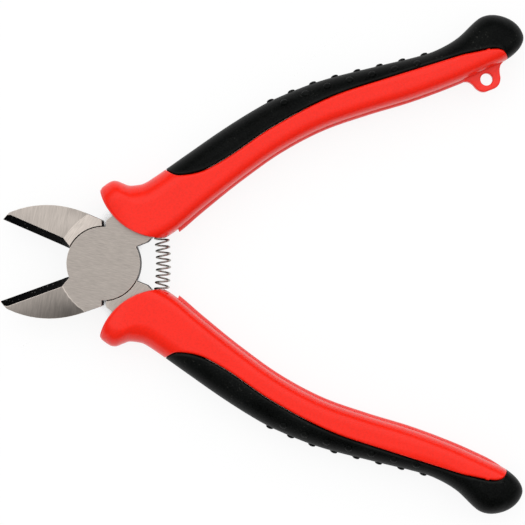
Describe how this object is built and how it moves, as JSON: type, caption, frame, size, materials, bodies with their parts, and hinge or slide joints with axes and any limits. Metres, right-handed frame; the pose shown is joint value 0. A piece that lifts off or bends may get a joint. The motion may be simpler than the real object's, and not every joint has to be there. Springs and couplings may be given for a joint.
{
  "type": "side cutters",
  "caption": "Spring-opened diagonal side cutters with a flush lap joint, bevelled jaws and curved two-material grips, one with a hang loop.",
  "frame": {"origin": "centre of the head's front flat face, on the pivot axis", "axes": "+X from the pivot to the handle ends, +Y to the handle with the hang loop, +Z out of the front face along the pivot axis"},
  "size_m": [0.1618, 0.1546, 0.016],
  "materials": {
    "forged_steel": "ground and brushed, dark bevels",
    "rivet_steel": "ground flush",
    "spring_steel": "drawn wire",
    "grip_red": "satin",
    "grip_black": "matt with raised bumps"
  },
  "bodies": {
    "front_side": {"front_half": "forged_steel", "pivot_rivet": "rivet_steel", "opening_spring": "spring_steel", "upper_grip_body": "grip_red", "upper_grip_cushion": "grip_black"},
    "back_side": {"back_half": "forged_steel", "lower_grip_body": "grip_red", "lower_grip_cushion": "grip_black"}
  },
  "joints": [
    {"name": "plier_pivot", "type": "hinge", "parent": "front_side", "child": "back_side", "pos_m": [0, 0, -0.0055], "axis": [0, 0, 1], "range_deg": [-5.5, 43], "stiffness_Nm_per_rad": 0.45, "deforming": ["opening_spring"]}
  ]
}
